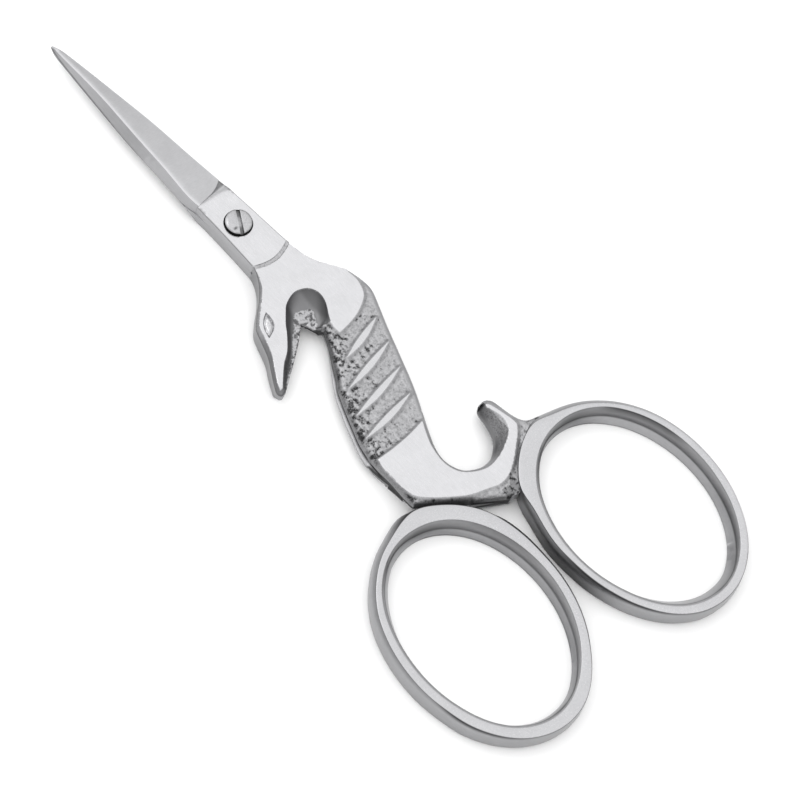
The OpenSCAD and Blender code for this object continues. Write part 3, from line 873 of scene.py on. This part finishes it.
def bow_section(w, inner, way, ledge, tight, inner_grime, outer_grime, side_grime, crease_grime):
    """Section of a bow's bar, as (mm outside the clear ellipse, height, painted shade) once around it.
    The polished face lies between inner and w; way is the outward direction there."""
    swell = (0.38 + 0.38 * way[1]) * (1 - 0.8 * tight)
    tuck = 0.15 + 0.25 * max(0.0, -way[1]) ** 2
    upright = float(ease((way[0] + 0.35 * way[1] + 0.4) / 1.1))
    foot = inner - 0.05 - 0.25 * (1 - upright)
    foot_z = FACE - 0.35 - 2.0 * upright
    lip, lip_z = -ledge[0] + ledge[1] * way[1], FACE - 1.55 - 1.5 * upright
    upper = inner * 0.35 + foot * 0.65, foot_z * 0.65 + FACE * 0.35
    outside = w + swell
    face = [
        (inner, FACE - 0.07, 0.3 + 0.6 * inner_grime),
        (inner + 0.03, FACE - 0.02, 0.1),
        (inner + 0.09, FACE, 0.0),
        ((inner + w) / 2, FACE, 0.0),
        (w - 0.07 - 0.07 * outer_grime, FACE, 0.0),
        (w - 0.02 - 0.06 * outer_grime, FACE - 0.02, 0.3 + 0.5 * outer_grime)]
    outer_side = [
        (w, FACE - 0.06, 0.6 + 0.35 * outer_grime),
        (w + 0.12 * swell, FACE - 0.14, 0.25 + 0.65 * outer_grime),
        (w + 0.7 * swell, FACE - 0.45, 0.2 * side_grime),
        (outside, FACE - 0.9, 0.4 * side_grime),
        (outside, 1.2, 0.8 * side_grime),
        (outside - 0.4 * tuck, 0.5, 0.05 + 0.9 * side_grime),
        (outside - tuck, 0.08, 0.35 + 0.6 * side_grime)]
    back = [
        (outside - tuck - 0.08, GROUND, 0.2),
        ((w + lip) / 2, GROUND, 0.0),
        (lip + 0.1, GROUND, 0.2)]
    inner_wall = [
        (lip + 0.02, 0.1, 0.3),
        (lip, max(0.2, lip_z - 0.1), 0.2),
        (lip + 0.03, lip_z, 0.0),
        (foot - 0.12, foot_z - 0.1, 0.3 * crease_grime),
        (foot, foot_z, 0.6 + 0.2 * crease_grime),
        (foot + 0.02, foot_z + 0.1, 0.45 + 0.3 * crease_grime),
        (*upper, 0.12 + 0.45 * crease_grime),
        (0.7 * inner + 0.3 * upper[0], 0.7 * FACE + 0.3 * upper[1], 0.12 + 0.6 * inner_grime)]
    return face + outer_side + back + inner_wall


# strips of the section that are polished: the face and the flat back
BOW_POLISHED = (1, 2, 3, 4, 13, 14)


def bow_shape(bow, steps=288):
    """Closed ring: polished face, rounded outer side, flat back, and a ledge on the inner wall"""
    turn = math.radians(bow["tilt"])
    spin = np.array([[math.cos(turn), -math.sin(turn)], [math.sin(turn), math.cos(turn)]])
    half = bow["half"]
    shape = Shape()
    for k in range(steps):
        degrees = 360 * k / steps
        t = math.radians(degrees)
        at = np.array(bow["centre"]) + spin @ (half[0] * math.cos(t), half[1] * math.sin(t))
        way = spin @ np.array([half[1] * math.cos(t), half[0] * math.sin(t)])
        way /= np.linalg.norm(way)
        grime = [around(bow["grime"][name], degrees) for name in ("inner", "outer", "side", "crease")]
        outer, inner, tight = [around(bow[name], degrees) for name in ("outer", "inner", "tight")]
        section = bow_section(outer, inner, way, bow["ledge"], tight, *grime)
        shape.add([(*(at + way * s), z) for s, z, _ in section], [g for _, _, g in section])
    count = len(section)
    for k in range(steps):
        a, b = k * count, (k + 1) % steps * count
        for i in range(count):
            j = (i + 1) % count
            look = "bow" if i in BOW_POLISHED else "bow_side"
            shape.face([a + i, b + i, b + j, a + j], look)
    return shape


# ---- screw
def screw_shape():
    """Domed head with a worn slot, undercut at its rim, on a plain shank"""
    slot = dict(angle=math.radians(58), width=0.46, depth=0.34, aside=-0.15)
    way = np.array([math.cos(slot["angle"]), math.sin(slot["angle"])])
    side = np.array([-way[1], way[0]])
    radius = HEAD_R - 0.1
    outline = circle(radius, 96)
    walls = []
    for sign in (-1, 1):
        for inset in (0.0, 0.05):
            off = sign * (slot["width"] / 2 - inset) + slot["aside"]
            half_length = math.sqrt(radius**2 - off**2) * 0.999
            ends = [side * off - way * half_length, side * off + way * half_length]
            walls.append((straight(ends, 0.15), False))
    creases = walls + [(circle(radius - 0.22, 72), True)]
    points = grid(outline, 0.16, [(outline, True)] + creases)
    rise = SCREW_TOP - FACE

    def top(p):
        r = np.hypot(p[:, 0], p[:, 1]) / radius
        dome = rise * (0.65 + 0.35 * np.sqrt(np.clip(1 - (r / 1.02) ** 2, 0, 1)))
        across_slot = np.abs(p @ side - slot["aside"])
        cut = slot["depth"] * ease((slot["width"] / 2 + 0.01 - across_slot) / 0.05)
        z = dome - cut * (1 - 0.25 * ease(1 - r / 0.4))
        # painted shade in the slot, lighter in its middle, and a painted dark reflection on the head's
        # rounded rim
        dirt = 0.75 * ease(cut / 0.3) * (0.35 + 0.65 * ease((r - 0.25) / 0.3))
        dirt += 0.55 * ease((r - 0.92) / 0.08)
        # a nick beside the slot, left by a careless turn
        nick = np.hypot((p[:, 0] + 0.9) / 1.6, p[:, 1] + 0.45) / 0.17
        z -= 0.06 * ease(1.4 - nick)
        dirt += 0.8 * ease(1.4 - nick) + 0.1 * ease((grain(p, 0.4, 3.0) - 0.1) / 0.4)
        return z + POCKET_DEPTH, np.clip(dirt, 0, 1)

    # the head's undercut rim is near-black gap steel, darker downwards: painted shadow under the head
    shape = plate([outline], creases, points, top, [(0.72, 0.0, 0.9), (0.35, -0.25, 1.0), (0.0, -0.32, 1.0)],
                  dict(top=lambda m: ["screw"] * len(m), wall=lambda m: ["gap"] * len(m), mate="gap"))
    # the shank, down to the back lever's outer face, with a chamfered end
    foot = POCKET_DEPTH - FACE
    n = 48
    first = None
    for r, z in ((SHANK_R, 0.0), (SHANK_R, foot + 0.08), (SHANK_R - 0.08, foot + 0.01)):
        row = shape.add([(*q, z) for q in circle(r, n)], 0.1)
        if first is not None:
            for i in range(n):
                shape.face([first + i, row + i, row + (i + 1) % n, first + (i + 1) % n], "screw")
        first = row
    tip = shape.add([(0, 0, foot)], 0.0)
    for i in range(n):
        shape.face([first + i, tip, first + (i + 1) % n], "screw")
    return shape


# ---- placing
def meeting(v):
    """Brings the mating face out to the plane where the levers meet"""
    return np.where(v[:, 2:] < 0.001, (0, 0, MEET_GAP - (FRONT_MATE - BACK_MATE) / 2), (0, 0, 0))


def at_front(v):
    return v + meeting(v) + (0, 0, FRONT_MATE)


def at_back(v):
    return (v + meeting(v)) * (1, 1, -BACK_MATE / LEAF) + (0, 0, BACK_MATE)


def swapped_back(v):
    """The back lever's blade and joint, where edge and spine change sides"""
    middle = BLADE_LEAN * np.maximum(v[:, 1] - LEAN_START, 0) / (TIP_Y - LEAN_START)
    return at_back(np.stack([2 * middle - v[:, 0], v[:, 1], v[:, 2]], 1))


blade = blade_shape()
build("front_blade_steel", blade, "front_lever", ["front_blade"], at_front)
build("back_blade_steel", blade, "back_lever", ["back_blade"], swapped_back)
build("front_joint_steel", joint_shape(FRONT_BORE, True), "front_lever", ["front_joint"],
      at_front)
build("back_joint_steel", joint_shape(BACK_BORE, False), "back_lever", ["back_joint"],
      at_back, True)
build("front_seahorse", figure_shape(True), "front_lever",
      ["front_head", "front_trunk", "front_haunch"], at_front)
build("back_seahorse", figure_shape(False), "back_lever",
      ["back_head", "back_trunk", "back_haunch"], at_back, True)
build("front_finger_bow_steel", bow_shape(FRONT_BOW), "front_lever", ["front_bow"])
build("back_finger_bow_steel", bow_shape(BACK_BOW), "back_lever", ["back_bow"])
build("slotted_pivot_screw", screw_shape(), "back_lever", ["pivot_screw"],
      lambda v: v + (0, 0, FACE - POCKET_DEPTH))


# ---- stage, light and camera
def floor():
    """Pale matt ground, a hair below the part"""
    mesh = bpy.data.meshes.new("floor")
    half = 3.0
    corners = [(-half, -half, 0), (half, -half, 0), (half, half, 0), (-half, half, 0)]
    mesh.from_pydata(corners, [], [(0, 1, 2, 3)])
    piece = in_scene("floor", mesh)
    mat = bpy.data.materials.new("pale_floor")
    mat.use_nodes = True
    skin = mat.node_tree.nodes["Principled BSDF"]
    skin.inputs["Base Color"].default_value = (0.92, 0.92, 0.92, 1)
    skin.inputs["Roughness"].default_value = 0.9
    skin.inputs["Specular IOR Level"].default_value = 0.1
    mesh.materials.append(mat)
    piece.location.z = -0.00002


def sky():
    """Soft studio light: bright overhead, grey towards the horizon"""
    world = bpy.data.worlds.new("studio")
    bpy.context.scene.world = world
    world.use_nodes = True
    nodes, links = world.node_tree.nodes, world.node_tree.links
    place = nodes.new("ShaderNodeTexCoord")
    split = nodes.new("ShaderNodeSeparateXYZ")
    ramp = nodes.new("ShaderNodeValToRGB")
    links.new(place.outputs["Generated"], split.inputs["Vector"])
    links.new(split.outputs["Z"], ramp.inputs["Fac"])
    links.new(ramp.outputs["Color"], nodes["Background"].inputs["Color"])
    stops = ((0.0, 0.45), (0.35, 0.6), (0.75, 0.95), (1.0, 1.0))
    for element, (at, level) in zip(ramp.color_ramp.elements, (stops[0], stops[-1])):
        element.position = at
        element.color = (level,) * 3 + (1,)
    for at, level in stops[1:-1]:
        ramp.color_ramp.elements.new(at).color = (level,) * 3 + (1,)
    nodes["Background"].inputs["Strength"].default_value = 1.65


def softbox(name, at, size, power):
    """Square soft light that shines on the middle of the part"""
    light = bpy.data.lights.new(name, "AREA")
    light.shape = "SQUARE"
    light.size = size
    light.energy = power
    lamp = in_scene(name, light)
    lamp.location = at
    lamp.rotation_euler = (Vector(at) - Vector((0, -0.03, 0))).to_track_quat("Z", "Y").to_euler()


def camera():
    """Long lens, turned and rolled as in the photo"""
    lens = bpy.data.cameras.new("camera")
    lens.sensor_width = 36
    lens.lens = 337.5
    lens.clip_start = 0.01
    eye = in_scene("camera", lens)
    back = Vector((-0.392, -0.228, 0.891)).normalized()
    right = Vector((0.720, -0.678, 0.143))
    right = (right - back * right.dot(back)).normalized()
    up = back.cross(right)
    aim = Vector((-0.92, -28.6, FACE)) * MM
    away = 0.8625
    eye.matrix_world = Matrix((right, up, back)).transposed().to_4x4()
    eye.location = aim + back * away
    bpy.context.scene.camera = eye


floor()
sky()
softbox("overhead", (-0.1, 0.55, 0.75), 0.4, 0.8)
camera()
bpy.context.scene.view_settings.view_transform = "Standard"
